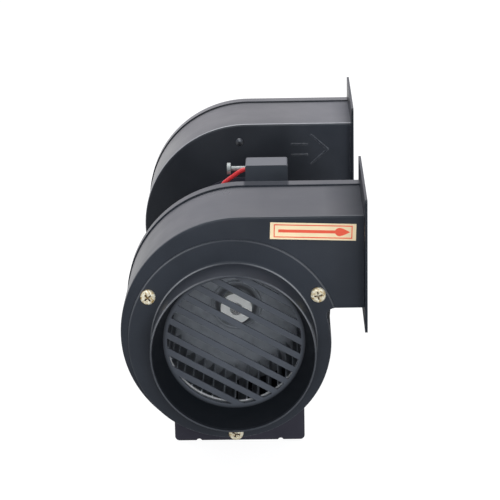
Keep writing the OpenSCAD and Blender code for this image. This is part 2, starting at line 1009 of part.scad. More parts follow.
module motor_casing() {
    color(black_paint)
        translate([0, 0, axis_h])
            difference() {
                rod_y(motor_r, -casing_end, casing_len);
                rod_y(motor_r - motor_wall, -casing_end - cut_over, casing_len + 2*cut_over);
                for (side = [0, 1])
                    mirror([0, side, 0])
                        round_axis(4, 0) bell_screw_hole();
                translate([lead_x, lead_y, 0])
                    cylinder(r = grommet_hole_r, h = motor_d);
            }
}

module front_end_bell() {
    color(black_paint)
        translate([0, 0, axis_h])
            mirror([0, 1, 0]) end_bell();
}

module rear_end_bell() {
    color(black_paint)
        translate([0, 0, axis_h]) end_bell();
}

module casing_screws() {
    color(bright_steel)
        translate([0, 0, axis_h])
            for (side = [0, 1])
                mirror([0, side, 0])
                    round_axis(4, 0) casing_screw();
}

// Stack of laminations with open slots at the bore
module stator_core() {
    slot_depth = (stator_r - stator_bore_d/2)/2;
    slot_width = PI*stator_bore_d/stator_slots/2;
    color(bright_steel)
        translate([0, 0, axis_h])
            slab(-stator_len/2, stator_len)
                difference() {
                    circle(stator_r);
                    circle(stator_bore_d/2);
                    for (i = [0:stator_slots - 1])
                        rotate(360*i/stator_slots)
                            translate([stator_bore_d/2 - 1, -slot_width/2])
                                square([slot_depth + 1, slot_width]);
                }
}

// End turns of the winding, one bundle against each end of the core
module stator_winding() {
    inner_r = stator_bore_d/2 + 2;
    outer_r = stator_r - (stator_r - stator_bore_d/2)/2;
    color("#b4703a")
        translate([0, 0, axis_h])
            for (y = [-stator_len/2 - winding_overhang, stator_len/2])
                turned()
                    rounded_box(inner_r, y, outer_r - inner_r, winding_overhang, 2);
}

module front_bearing() {
    color(bright_steel)
        translate([0, 0, axis_h])
            mirror([0, 1, 0]) bearing();
}

module rear_bearing() {
    color(bright_steel)
        translate([0, 0, axis_h]) bearing();
}

module motor_shaft() {
    color(bright_steel)
        translate([0, 0, axis_h])
            rod_y(shaft_r, -shaft_end_y, 2*shaft_end_y);
}

// Rotor stack with its two end rings
module rotor_core() {
    core_r = stator_bore_d/2 - air_gap;
    ring_len = winding_overhang - 2;
    color("#8f9499")
        translate([0, 0, axis_h])
            difference() {
                union() {
                    rod_y(core_r, -stator_len/2, stator_len);
                    rod_y(core_r - 2, -stator_len/2 - ring_len, stator_len + 2*ring_len);
                }
                rod_y(shaft_r + press_gap, -stator_len, 2*stator_len);
            }
}

// Moulded block that sits saddle-wise on the casing
module terminal_block() {
    color("#1b1c1f")
        translate([0, 0, axis_h])
            difference() {
                slab(-block_ahead - block_depth/2, block_depth)
                    difference() {
                        rounded_box(block_x, 0, block_w, block_top, block_wall_r);
                        circle(motor_r + fit_gap);
                    }
                translate([block_x - 1, -block_ahead, post_z])
                    rotate([0, 90, 0])
                        cylinder(r = post_d/2 + fit_gap, h = post_depth + 1);
                translate([block_x - 1, lead_y, lead_route[0][2]])
                    rotate([0, 90, 0])
                        cylinder(r = lead_d/2 + fit_gap, h = post_depth + 1);
            }
}

// Round-head screw in the end of the block
module terminal_screw() {
    color(yellow_zinc)
        translate([block_x, -block_ahead, axis_h + post_z])
            rotate([0, -90, 0]) {
                translate([0, 0, -post_depth])
                    cylinder(r = post_d/2, h = post_depth + post_len);
                translate([0, 0, post_len])
                    cylinder(r = post_head_d/2, h = post_head_h);
            }
}

// Red lead from the block into the motor
module motor_lead() {
    count = len(lead_route);
    rings = [for (i = [0:count - 1]) for (p = lead_ring(i)) p];
    sides = [for (i = [0:count - 2], k = [0:lead_sides - 1])
                let (n = (k + 1) % lead_sides, a = i*lead_sides, b = a + lead_sides)
                [a + k, b + k, b + n, a + n]];
    first = [[for (k = [0:lead_sides - 1]) k]];
    last = [[for (k = [lead_sides - 1:-1:0]) (count - 1)*lead_sides + k]];
    color("#c62127")
        translate([0, 0, axis_h])
            polyhedron(rings, concat(first, sides, last));
}

// Rubber grommet in the casing round the lead
module lead_grommet() {
    inner_x = abs(lead_x) - grommet_r;
    low = sqrt(pow(stator_r, 2) - pow(inner_x, 2)) + fit_gap;
    seat = sqrt(pow(motor_r, 2) - pow(inner_x, 2)) + fit_gap;
    color("#17181a")
        translate([lead_x, lead_y, axis_h])
            difference() {
                union() {
                    translate([0, 0, low])
                        cylinder(r = grommet_hole_r - fit_gap, h = seat - low + grommet_h/2);
                    translate([0, 0, seat])
                        cylinder(r = grommet_r, h = grommet_h);
                }
                cylinder(r = lead_d/2 + fit_gap, h = motor_d);
            }
}

// Cream label on the front shell's face
module direction_sticker() {
    color("#efe6cf")
        in_front_scroll()
            slab(-sticker_t, sticker_t)
                translate([sticker_x, sticker_z])
                    rotate(-sticker_tilt)
                        square([sticker_len, sticker_h], center = true);
}

front_shell();
front_back_plate();
front_outlet_flange();
front_inlet_collar();
front_inlet_grille();
front_collar_screws();
front_motor_screws();
front_impeller();
front_hub();
front_set_screw();
rear_shell();
rear_inlet_plate();
rear_outlet_flange();
rear_inlet_collar();
rear_inlet_grille();
rear_collar_screws();
rear_motor_screws();
rear_impeller();
rear_hub();
rear_set_screw();
rear_rivet();
base_bracket();
motor_casing();
front_end_bell();
rear_end_bell();
casing_screws();
stator_core();
stator_winding();
front_bearing();
rear_bearing();
motor_shaft();
rotor_core();
terminal_block();
terminal_screw();
motor_lead();
lead_grommet();
direction_sticker();
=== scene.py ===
import bmesh
import bpy
import math
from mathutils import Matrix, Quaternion, Vector


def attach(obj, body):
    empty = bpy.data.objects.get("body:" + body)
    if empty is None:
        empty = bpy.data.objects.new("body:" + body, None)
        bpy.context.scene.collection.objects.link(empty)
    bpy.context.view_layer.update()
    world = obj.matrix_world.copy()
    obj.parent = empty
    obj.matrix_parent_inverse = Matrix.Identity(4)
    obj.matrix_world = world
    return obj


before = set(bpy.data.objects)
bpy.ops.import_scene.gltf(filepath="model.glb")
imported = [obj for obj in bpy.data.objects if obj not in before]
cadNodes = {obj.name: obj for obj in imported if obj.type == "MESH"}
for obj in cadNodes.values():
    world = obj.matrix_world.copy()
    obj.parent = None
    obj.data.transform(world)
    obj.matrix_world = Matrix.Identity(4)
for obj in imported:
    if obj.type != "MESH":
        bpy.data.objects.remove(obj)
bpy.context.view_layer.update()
mm = 0.001
shaftHeight = 98.0                     # mm, the shaft's axis above the foot
print("frame loaded:", len(cadNodes), "nodes")

# small helpers, most of them for node trees


def toMetres(lengths):
    return [length * mm for length in lengths]


def addNode(tree, kind, values=None, **settings):
    node = tree.nodes.new(kind)
    for key, value in settings.items():
        setattr(node, key, value)
    for key, value in (values or {}).items():
        node.inputs[key].default_value = value
    return node


def feed(tree, value, socket):
    # a number or a colour is set on the socket, anything else is linked to it
    if isinstance(value, tuple):
        socket.default_value = (*value, 1)
    elif isinstance(value, (int, float)):
        socket.default_value = value
    else:
        tree.links.new(value, socket)


def addMath(tree, operation, a, b=None, clamp=False):
    node = addNode(tree, "ShaderNodeMath", operation=operation, use_clamp=clamp)
    feed(tree, a, node.inputs[0])
    if b is not None:
        feed(tree, b, node.inputs[1])
    return node.outputs[0]


def addMix(tree, factor, a, b):
    node = addNode(tree, "ShaderNodeMix", data_type="RGBA")
    for slot, value in ((0, factor), (6, a), (7, b)):
        feed(tree, value, node.inputs[slot])
    return node.outputs[2]


def addNoise(tree, vector, scale, detail, rough):
    node = addNode(tree, "ShaderNodeTexNoise", {"Detail": detail, "Roughness": rough})
    tree.links.new(vector, node.inputs["Vector"])
    feed(tree, scale, node.inputs["Scale"])
    return node.outputs[0]


def addRange(tree, value, low, high, toLow=0.0, toHigh=1.0, shape="LINEAR"):
    limits = {"From Min": low, "From Max": high, "To Min": toLow, "To Max": toHigh}
    node = addNode(tree, "ShaderNodeMapRange", limits, interpolation_type=shape)
    tree.links.new(value, node.inputs["Value"])
    return node.outputs[0]


def addBell(tree, value, middle, width, core=0.25):
    # 1 near the middle, 0 further off than the width
    away = addMath(tree, "ABSOLUTE", addMath(tree, "SUBTRACT", value, middle))
    return addRange(tree, away, width, core * width)


def addScale(tree, color, gain):
    node = addNode(tree, "ShaderNodeVectorMath", operation="SCALE")
    tree.links.new(color, node.inputs[0])
    tree.links.new(gain, node.inputs["Scale"])
    return node.outputs[0]


def addAxes(tree, source, output):
    # a place or a direction, split into X, Y and Z
    axes = addNode(tree, "ShaderNodeSeparateXYZ")
    tree.links.new(addNode(tree, source).outputs[output], axes.inputs[0])
    return axes.outputs


def addPlace(tree):
    return addAxes(tree, "ShaderNodeTexCoord", "Object")


def addRadius(tree, place):
    # distance from the shaft's axis, and height above it
    up = addMath(tree, "SUBTRACT", place["Z"], shaftHeight * mm)
    squares = [addMath(tree, "MULTIPLY", length, length) for length in (place["X"], up)]
    return addMath(tree, "SQRT", addMath(tree, "ADD", *squares)), up


def newMaterial(name):
    material = bpy.data.materials.new(name)
    material.use_nodes = True
    tree = material.node_tree
    return material, tree, tree.nodes["Principled BSDF"]


# camera, floor and soft studio light

cameraLook = {
    "target": (10.8, -153.25, 156.0),  # mm, the point in the middle of the picture
    "distance": 1172.8,                # mm
    "azimuth": 1.21, "elevation": 17.6, "roll": -1.17,   # degrees
    "lens": 140.5, "sensor": 36.0,     # mm
    "clip": (0.05, 50.0),              # m
}


def placeCamera(look):
    a, e = math.radians(look["azimuth"]), math.radians(look["elevation"])
    back = Vector((math.sin(a) * math.cos(e), -math.cos(a) * math.cos(e), math.sin(e)))
    data = bpy.data.cameras.new("studioCamera")
    data.lens, data.sensor_width = look["lens"], look["sensor"]
    data.clip_start, data.clip_end = look["clip"]
    cam = bpy.data.objects.new("studioCamera", data)
    cam.location = (Vector(look["target"]) + back * look["distance"]) * mm
    cam.rotation_mode = "QUATERNION"
    turn = Quaternion((0, 0, 1), math.radians(look["roll"]))
    cam.rotation_quaternion = (-back).to_track_quat("-Z", "Y") @ turn
    bpy.context.scene.collection.objects.link(cam)
    bpy.context.scene.camera = cam


placeCamera(cameraLook)

studio = {
    "floorSize": 40.0, "floorDrop": 0.0003,   # m, and how far below the foot
    "floorColor": (0.16, 0.16, 0.16), "floorRoughness": 0.9,
    "floorWhite": 0.93,                # how white the table looks
    "floorGlow": (0.12, 0.95),         # light it throws up, in front of the part and behind it
    "glowEdge": (-0.1, 0.45),          # m, along Y
    "frontColor": (0.3, 0.33, 0.38), "backColor": (1.07, 1.05, 1.12),
    "sweepEdge": (-0.5, 0.6),          # from the room in front to the sweep behind
    "worldStrength": 1.0,
    "seenColor": (1.0, 1.0, 1.0),      # what shows past the floor's far edge
    "panels": [                        # place, aim and size in m, power in W
        {"name": "overheadPanel", "place": (-0.2, 0.24, 1.7), "aim": (0.0, 0.1, 0.1),
         "size": 1.6, "power": 19, "color": (1.0, 0.99, 0.98), "mirrored": True},
        {"name": "frontPanel", "place": (0.2, -2.4, 1.05), "aim": (0.0, -0.1, 0.12),
         "size": 2.0, "power": 16, "color": (0.95, 0.98, 1.0), "mirrored": True},
        {"name": "nearPanel", "place": (0.1, -1.05, 0.34), "aim": (0.0, -0.15, 0.12),
         "size": 0.45, "power": 5.2, "color": (0.95, 0.98, 1.0), "mirrored": False},
    ],
}


def addPanel(look):
    light = bpy.data.lights.new(look["name"], "AREA")
    light.shape = "SQUARE"
    light.size, light.energy, light.color = look["size"], look["power"], look["color"]
    panel = bpy.data.objects.new(look["name"], light)
    panel.location = look["place"]
    panel.visible_camera = False
    panel.visible_glossy = look["mirrored"]   # whether shiny surfaces mirror it
    panel.rotation_mode = "QUATERNION"
    panel.rotation_quaternion = (Vector(look["aim"]) - panel.location).to_track_quat("-Z", "Y")
    bpy.context.scene.collection.objects.link(panel)


def buildWorld(look):
    # white sweep behind the table, darker room in front of it
    world = bpy.data.worlds.new("studioWorld")
    world.use_nodes = True
    tree = world.node_tree
    around = addAxes(tree, "ShaderNodeTexCoord", "Generated")
    fade = addRange(tree, around["Y"], *look["sweepEdge"], shape="SMOOTHSTEP")
    room = addMix(tree, fade, look["frontColor"], look["backColor"])
    cameraRay = addNode(tree, "ShaderNodeLightPath").outputs["Is Camera Ray"]
    background = tree.nodes["Background"]
    tree.links.new(addMix(tree, cameraRay, room, look["seenColor"]), background.inputs["Color"])
    background.inputs["Strength"].default_value = look["worldStrength"]
    bpy.context.scene.world = world


def floorCard(look):
    # white to the camera, less bright to what stands on it
    card, tree, shader = newMaterial("floorCard")
    shader.inputs["Base Color"].default_value = (*look["floorColor"], 1)
    shader.inputs["Roughness"].default_value = look["floorRoughness"]
    shader.inputs["Specular IOR Level"].default_value = 0.0
    shader.inputs["Emission Color"].default_value = (1, 1, 1, 1)
    along = addPlace(tree)["Y"]
    glow = addRange(tree, along, *look["glowEdge"], *look["floorGlow"], shape="SMOOTHSTEP")
    seen = addNode(tree, "ShaderNodeMix", {3: look["floorWhite"]})
    tree.links.new(addNode(tree, "ShaderNodeLightPath").outputs["Is Camera Ray"], seen.inputs[0])
    tree.links.new(glow, seen.inputs[2])
    tree.links.new(seen.outputs[0], shader.inputs["Emission Strength"])
    return card


def buildFloor(look):
    half = look["floorSize"] / 2
    corners = [(-half, -half, 0), (half, -half, 0), (half, half, 0), (-half, half, 0)]
    mesh = bpy.data.meshes.new("studioFloor")
    mesh.from_pydata(corners, [], [(0, 1, 2, 3)])
    mesh.materials.append(floorCard(look))
    floor = bpy.data.objects.new("studioFloor", mesh)
    floor.location.z = -look["floorDrop"]
    bpy.context.scene.collection.objects.link(floor)


buildWorld(studio)
buildFloor(studio)
for panelLook in studio["panels"]:
    addPanel(panelLook)
bpy.context.scene.view_settings.view_transform = "Standard"
print("studio ready")

# shared effects, each a node group that is placed in the materials with its own values


def newGroup(name, inputs, outputs):
    tree = bpy.data.node_groups.new(name, "ShaderNodeTree")
    for kind, label, value in inputs:
        socket = tree.interface.new_socket(name=label, in_out="INPUT", socket_type=kind)
        socket.default_value = value
    for kind, label in outputs:
        tree.interface.new_socket(name=label, in_out="OUTPUT", socket_type=kind)
    return tree, tree.nodes.new("NodeGroupInput").outputs, tree.nodes.new("NodeGroupOutput").inputs


skinOutputs = [
    ("NodeSocketColor", "Color"), ("NodeSocketFloat", "Roughness"), ("NodeSocketFloat", "Height"),
]

coatingValues = {
    "broad": (22.0, 3.0, 0.55), "speck": (2600.0, 1.0, 0.4),   # noise scale, detail and roughness
    "peel": (2.0, 0.5),                # its scale is an input
    "upward": (0.1, 1.0), "settled": (0.25, 1.0),   # dust lies on what looks up
    "grains": (0.52, 0.72), "drift": (0.35, 0.7),
    "stretch": (9.0, 620.0, 9.0),      # draws the noise out into lines round the walls
    "drawn": (1.0, 3.0, 0.6), "streak": (0.5, 0.72),
    "spread": (0.3, 0.7), "tone": (0.82, 1.18), "sheen": (-0.05, 0.05),
    "dustRough": 0.3, "dustHeight": 0.4,
}


def buildCoating(look):
    # sprayed or moulded skin: broad tone, fine peel, drawing lines and a little settled dust
    tree, given, out = newGroup("coatingSkin", [
        ("NodeSocketColor", "Coat", (0.03, 0.03, 0.03, 1)),
        ("NodeSocketColor", "Dust", (0.2, 0.2, 0.21, 1)),
        ("NodeSocketFloat", "Peel Scale", 900.0),
        ("NodeSocketFloat", "Dust Amount", 0.15),
        ("NodeSocketFloat", "Base Roughness", 0.42),
        ("NodeSocketFloat", "Streaks", 0.0),
    ], skinOutputs)
    place = addNode(tree, "ShaderNodeTexCoord").outputs["Object"]
    broad = addNoise(tree, place, *look["broad"])
    peel = addNoise(tree, place, given["Peel Scale"], *look["peel"])
    speck = addNoise(tree, place, *look["speck"])
    upward = addAxes(tree, "ShaderNodeNewGeometry", "Normal")["Z"]
    settled = addRange(tree, upward, *look["upward"], *look["settled"])
    grains = addRange(tree, speck, *look["grains"])
    drift = addRange(tree, broad, *look["drift"])
    mask = addMath(tree, "MULTIPLY", addMath(tree, "MULTIPLY", grains, drift), settled)
    mask = addMath(tree, "MULTIPLY", mask, given["Dust Amount"], True)
    drawn = addNode(tree, "ShaderNodeVectorMath", {1: look["stretch"]}, operation="MULTIPLY")
    tree.links.new(place, drawn.inputs[0])
    streak = addRange(tree, addNoise(tree, drawn.outputs[0], *look["drawn"]), *look["streak"])
    mask = addMath(tree, "ADD", mask, addMath(tree, "MULTIPLY", streak, given["Streaks"]), True)
    tone = addRange(tree, broad, *look["spread"], *look["tone"])
    shaded = addScale(tree, given["Coat"], tone)
    tree.links.new(addMix(tree, mask, shaded, given["Dust"]), out["Color"])
    sheen = addRange(tree, broad, *look["spread"], *look["sheen"])
    rough = addMath(tree, "ADD", given["Base Roughness"], sheen)
    rough = addMath(tree, "ADD", rough, addMath(tree, "MULTIPLY", mask, look["dustRough"]), True)
    tree.links.new(rough, out["Roughness"])
    height = addMath(tree, "ADD", peel, addMath(tree, "MULTIPLY", mask, look["dustHeight"]))
    tree.links.new(height, out["Height"])
    return tree


bevelSamples = 6
edgeWearAndHighlightValues = {
    "lean": (0.995, 0.75),             # cosine between the rounded normal and the flat one
    "broken": (420.0, 4.0, 0.65), "gaps": (0.35, 0.65),
}


def buildEdgeWearAndHighlight(look):
    # pale line where two faces meet: partly rubbed wear, partly a painted edge highlight
    tree, given, out = newGroup("edgeWearAndHighlight", [
        ("NodeSocketColor", "Base", (0.03, 0.03, 0.03, 1)),
        ("NodeSocketColor", "Worn And Lit", (0.16, 0.16, 0.17, 1)),
        ("NodeSocketFloat", "Amount", 0.5),
        ("NodeSocketFloat", "Reach", 0.0006),
    ], [("NodeSocketColor", "Color")])
    rounded = addNode(tree, "ShaderNodeBevel", samples=bevelSamples)
    tree.links.new(given["Reach"], rounded.inputs["Radius"])
    flat = addNode(tree, "ShaderNodeNewGeometry")
    cosine = addNode(tree, "ShaderNodeVectorMath", operation="DOT_PRODUCT")
    tree.links.new(rounded.outputs[0], cosine.inputs[0])
    tree.links.new(flat.outputs["Normal"], cosine.inputs[1])
    edge = addRange(tree, cosine.outputs["Value"], *look["lean"])
    place = addNode(tree, "ShaderNodeTexCoord").outputs["Object"]
    broken = addRange(tree, addNoise(tree, place, *look["broken"]), *look["gaps"])
    mask = addMath(tree, "MULTIPLY", addMath(tree, "MULTIPLY", edge, broken), given["Amount"], True)
    tree.links.new(addMix(tree, mask, given["Base"], given["Worn And Lit"]), out["Color"])
    return tree


brushValues = {
    "lines": (1.0, 3.0, 0.6),          # noise scale, detail and roughness
    "stain": (4.0, 0.6), "blotch": (0.42, 0.75),   # the stain's scale is an input
    "spread": (0.3, 0.7), "sheen": (-0.06, 0.08), "stainRough": 0.25,
}


def buildBrushing(look):
    # drawn or turned metal: fine lines along one axis, with stains
    tree, given, out = newGroup("metalBrushing", [
        ("NodeSocketColor", "Metal", (0.6, 0.6, 0.62, 1)),
        ("NodeSocketColor", "Stain", (0.25, 0.24, 0.22, 1)),
        ("NodeSocketVector", "Stretch", (900.0, 40.0, 900.0)),
        ("NodeSocketFloat", "Stain Amount", 0.35),
        ("NodeSocketFloat", "Stain Scale", 160.0),
        ("NodeSocketFloat", "Base Roughness", 0.3),
    ], skinOutputs)
    place = addNode(tree, "ShaderNodeTexCoord").outputs["Object"]
    scaled = addNode(tree, "ShaderNodeVectorMath", operation="MULTIPLY")
    tree.links.new(place, scaled.inputs[0])
    tree.links.new(given["Stretch"], scaled.inputs[1])
    lines = addNoise(tree, scaled.outputs[0], *look["lines"])
    blotch = addNoise(tree, place, given["Stain Scale"], *look["stain"])
    blotch = addRange(tree, blotch, *look["blotch"])
    mask = addMath(tree, "MULTIPLY", blotch, given["Stain Amount"], True)
    tree.links.new(addMix(tree, mask, given["Metal"], given["Stain"]), out["Color"])
    sheen = addRange(tree, lines, *look["spread"], *look["sheen"])
    rough = addMath(tree, "ADD", given["Base Roughness"], sheen)
    rough = addMath(tree, "ADD", rough, addMath(tree, "MULTIPLY", mask, look["stainRough"]), True)
    tree.links.new(rough, out["Roughness"])
    tree.links.new(lines, out["Height"])
    return tree


recessDirtAndShadeValues = {"samples": 8, "shade": (0.9, 0.35)}


def buildRecessDirtAndShade(look):
    # dark dirt in recesses and corners, and painted shade there: darker where ambient occlusion finds
    # the surface hidden
    tree, given, out = newGroup("recessDirtAndShade", [
        ("NodeSocketColor", "Base", (0.6, 0.6, 0.6, 1)),
        ("NodeSocketColor", "Dirt And Shade", (0.02, 0.018, 0.015, 1)),
        ("NodeSocketFloat", "Reach", 0.0015),
        ("NodeSocketFloat", "Amount", 0.8),
    ], [("NodeSocketColor", "Color")])
    shade = addNode(tree, "ShaderNodeAmbientOcclusion", samples=look["samples"], only_local=True)
    tree.links.new(given["Reach"], shade.inputs["Distance"])
    deep = addRange(tree, shade.outputs["AO"], *look["shade"])
    mask = addMath(tree, "MULTIPLY", deep, given["Amount"], True)
    tree.links.new(addMix(tree, mask, given["Base"], given["Dirt And Shade"]), out["Color"])
    return tree


coatingGroup = buildCoating(coatingValues)
edgeGroup = buildEdgeWearAndHighlight(edgeWearAndHighlightValues)
brushGroup = buildBrushing(brushValues)
recessDirtAndShadeGroup = buildRecessDirtAndShade(recessDirtAndShadeValues)
print("shared effects:", len(bpy.data.node_groups))

# the two kinds of finish that all pieces wear

coatDepth = 0.0001                     # m, bump of a coating
lineDepth = 0.00005                    # m, bump of drawn or turned lines


def addGroup(tree, group, values):
    return addNode(tree, "ShaderNodeGroup", values, node_tree=group)


def addEdgeWearAndHighlight(tree, look, color):
    # pale edge line: partly rubbed wear, partly painted edge highlight
    wornLit = addGroup(tree, edgeGroup, {
        "Worn And Lit": (*look["wornLitColor"], 1), "Amount": look["wornLitAmount"], "Reach": look["wornLitReach"] * mm})
    tree.links.new(color, wornLit.inputs["Base"])
    return wornLit.outputs["Color"]


def addBump(tree, shader, height, strength, distance, edgeRadius):
    bump = addNode(tree, "ShaderNodeBump", {"Strength": strength, "Distance": distance})
    tree.links.new(height, bump.inputs["Height"])
    tree.links.new(bump.outputs[0], shader.inputs["Normal"])
    if edgeRadius > 0:
        soft = addNode(tree, "ShaderNodeBevel", {"Radius": edgeRadius * mm}, samples=bevelSamples)
        tree.links.new(soft.outputs[0], bump.inputs["Normal"])


def coatedMaterial(name, look):
    material, tree, shader = newMaterial(name)
    skin = addGroup(tree, coatingGroup, {
        "Coat": (*look["coat"], 1), "Dust": (*look["dust"], 1), "Peel Scale": look["peelScale"],
        "Dust Amount": look["dustAmount"], "Base Roughness": look["roughness"],
        "Streaks": look["streaks"]})
    tree.links.new(addEdgeWearAndHighlight(tree, look, skin.outputs["Color"]), shader.inputs["Base Color"])
    tree.links.new(skin.outputs["Roughness"], shader.inputs["Roughness"])
    addBump(tree, shader, skin.outputs["Height"], look["peel"], coatDepth, look["edgeRadius"])
    shader.inputs["IOR"].default_value = look["ior"]
    return material


def metalMaterial(name, look):
    material, tree, shader = newMaterial(name)
    brush = addGroup(tree, brushGroup, {
        "Metal": (*look["metal"], 1), "Stain": (*look["stain"], 1), "Stretch": look["stretch"],
        "Stain Amount": look["stainAmount"], "Stain Scale": look["stainScale"],
        "Base Roughness": look["roughness"]})
    # dirt and painted shade in recesses, from ambient occlusion
    recessDark = addGroup(tree, recessDirtAndShadeGroup, {"Dirt And Shade": (*look["dirtAndShadeColor"], 1), "Amount": look["dirtAndShadeAmount"]})
    tree.links.new(addEdgeWearAndHighlight(tree, look, brush.outputs["Color"]), recessDark.inputs["Base"])
    tree.links.new(recessDark.outputs["Color"], shader.inputs["Base Color"])
    tree.links.new(brush.outputs["Roughness"], shader.inputs["Roughness"])
    addBump(tree, shader, brush.outputs["Height"], look["lines"], lineDepth, look["edgeRadius"])
    shader.inputs["Metallic"].default_value = look["metallic"]
    return material


def openShader(material):
    tree = material.node_tree
    return tree, tree.nodes["Principled BSDF"]


def fedBy(shader, label):
    return shader.inputs[label].links[0].from_socket


def roughen(tree, shader, amount):
    rough = addMath(tree, "ADD", fedBy(shader, "Roughness"), amount, True)
    tree.links.new(rough, shader.inputs["Roughness"])


def dress(material, *names):
    for name in names:
        slots = cadNodes[name].data.materials
        slots.clear()
        slots.append(material)


# painted sheet metal

shellPaint = {
    "coat": (0.0230, 0.0268, 0.0345), "dust": (0.12, 0.125, 0.135), "dustAmount": 0.22,
    "peelScale": 1300.0, "peel": 0.2, "roughness": 0.34, "ior": 1.355,
    "wornLitColor": (0.08, 0.085, 0.095), "wornLitAmount": 0.5,
    "wornLitReach": 1.6, "edgeRadius": 0.5,   # mm, how wide the pale edge line of wear and painted highlight is, and how round the edge looks
    "streaks": 0.1,                    # lines left by the drawing die
}
shellMarks = {
    "edgeTurn": (0.42, 0.3),           # how far the drawn edge has turned to the face, and the spread
    "edgeY": (-153.25, -153.0),        # mm, from the face inwards
    "edgeHighlightColor": (0.17, 0.175, 0.185), "edgeHighlightAmount": 0.5,
    "dullX": (56.0, 78.0), "dullAmount": 0.32,   # mm along the duct, towards the flange
    "tongueX": (48.0, 54.0), "tongueZ": (121.0, 118.0),   # mm, the corner under the duct
    "tongueFade": (84.0, 108.0), "tongueAmount": 0.6,
    "sheenX": (-12.0, 30.0), "sheenAmount": 0.06,   # mm, middle and reach of the polished top
    "paintedLightX": (10.0, 60.0), "tone": (1.0, 1.0),   # mm, where and how much painted light makes the paint paler towards the outlet
}


def markShell(material, marks):
    # painted highlight along the drawn edge, painted light paling the paint towards the outlet, dull
    # by the flange and under the duct, polished on top
    tree, shader = openShader(material)
    facing = addAxes(tree, "ShaderNodeNewGeometry", "Normal")
    turned = addMath(tree, "MULTIPLY", facing["Y"], -1.0)
    place = addPlace(tree)
    behind = addRange(tree, place["Y"], *toMetres(marks["edgeY"]), 0.0, marks["edgeHighlightAmount"])
    line = addMath(tree, "MULTIPLY", addBell(tree, turned, *marks["edgeTurn"]), behind)
    # painted light: the paint is made paler towards the outlet
    tone = addRange(tree, place["X"], *toMetres(marks["paintedLightX"]), *marks["tone"])
    painted = addScale(tree, fedBy(shader, "Base Color"), tone)
    # painted highlight along the drawn edge
    tree.links.new(addMix(tree, line, painted, marks["edgeHighlightColor"]), shader.inputs["Base Color"])
    dull = addRange(tree, place["X"], *toMetres(marks["dullX"]), 0.0, marks["dullAmount"])
    beside = addRange(tree, place["X"], *toMetres(marks["tongueX"]))
    under = addRange(tree, place["Z"], *toMetres(marks["tongueZ"]), 0.0, marks["tongueAmount"])
    faded = addRange(tree, place["Z"], *toMetres(marks["tongueFade"]))
    corner = addMath(tree, "MULTIPLY", addMath(tree, "MULTIPLY", beside, under), faded)
    dull = addMath(tree, "ADD", dull, corner)
    sheen = addBell(tree, place["X"], *toMetres(marks["sheenX"]))
    sheen = addMath(tree, "MULTIPLY", sheen, marks["sheenAmount"])
    roughen(tree, shader, addMath(tree, "SUBTRACT", dull, sheen))
    return material


dress(markShell(coatedMaterial("shellPaint", shellPaint), shellMarks), "front_shell")

# a darker copy of the shell's paint: painted shade on the rear scroll, which gets less light
rearShellShadedPaint = dict(shellPaint, coat=(0.0140, 0.0165, 0.0220), ior=1.53,
                      wornLitAmount=0.4, wornLitColor=(0.24, 0.25, 0.27))
# rear shell: brighter painted highlight on the drawn edge, and painted light paling the paint towards
# the outlet
rearShellMarks = dict(shellMarks, edgeY=(76.75, 77.0), edgeHighlightColor=(0.37, 0.38, 0.4), edgeHighlightAmount=0.95,
                      dullX=(66.0, 80.0), dullAmount=0.13, sheenX=(38.0, 45.0), sheenAmount=0.03,
                      paintedLightX=(32.0, 72.0), tone=(0.95, 2.0))
dress(markShell(coatedMaterial("rearShellShadedPaint", rearShellShadedPaint), rearShellMarks), "rear_shell")

platePaint = dict(shellPaint, edgeRadius=0.4, ior=1.34, wornLitReach=0.6)
plateMarks = {
    "dullX": 20.4, "dullReach": (14.6, 13.2),   # mm, middle of the stretch and how far it goes
    "dullZ": (176.4, 177.0), "dullAmount": 0.5,   # mm, only on top of the hem
}


def markPlate(material, marks):
    # dull, dusty stretch of the hem in front of the terminal block
    tree, shader = openShader(material)
    place = addPlace(tree)
    away = addMath(tree, "SUBTRACT", place["X"], marks["dullX"] * mm)
    away = addMath(tree, "ABSOLUTE", away)
    dull = addRange(tree, away, *toMetres(marks["dullReach"]), 0.0, marks["dullAmount"])
    high = addRange(tree, place["Z"], *toMetres(marks["dullZ"]))
    roughen(tree, shader, addMath(tree, "MULTIPLY", dull, high))
    return material


dress(markPlate(coatedMaterial("platePaint", platePaint), plateMarks), "front_back_plate")

# the rear plate wears the rear shell's darker copy, so it carries the same painted shade
rearPlateShadedPaint = dict(rearShellShadedPaint, roughness=0.3, edgeRadius=0.4, wornLitReach=0.6)
dress(coatedMaterial("rearPlateShadedPaint", rearPlateShadedPaint), "rear_inlet_plate")

flangePaint = dict(shellPaint, coat=(0.0135, 0.0165, 0.0225), roughness=0.4, ior=1.34,
                   wornLitReach=0.6, streaks=0.0)
dress(coatedMaterial("flangePaint", flangePaint), "front_outlet_flange", "rear_outlet_flange")

collarPaint = dict(shellPaint, coat=(0.0235, 0.0272, 0.0348), roughness=0.5, ior=1.38, edgeRadius=0.3,
                   wornLitAmount=0.75, wornLitColor=(0.26, 0.265, 0.275), wornLitReach=0.6, streaks=0.0)
collarMarks = {                        # mm, crease and plateEdge are a radius and a width
    "insideRadius": (49.0, 48.7), "insideShadeColor": (0.0055, 0.007, 0.0095),
    "crease": (50.6, 0.55), "creaseY": (-155.4, 155.4), "creaseDepth": 0.8,
    "paleLineHighlightColor": (0.27, 0.275, 0.285), "creaseAmount": 0.6,
    "plateEdge": (64.6, 0.65), "plateEdgeAmount": 0.2,
    "rimY": (-178.5, 178.5), "rimDepth": 0.9, "rimAmount": 0.32,
    "aboveFrom": (0.0, 0.5), "aboveGain": (0.25, 1.0),   # the lines show more above the shaft
    "sideFrom": (0.1, 0.6), "sideGain": (0.15, 1.6),   # and more beside the top than at it
}


def addBands(tree, value, middles, width):
    # the front and the rear one of two alike
    bands = [addBell(tree, value, middle * mm, width * mm) for middle in middles]
    return addMath(tree, "MAXIMUM", *bands)


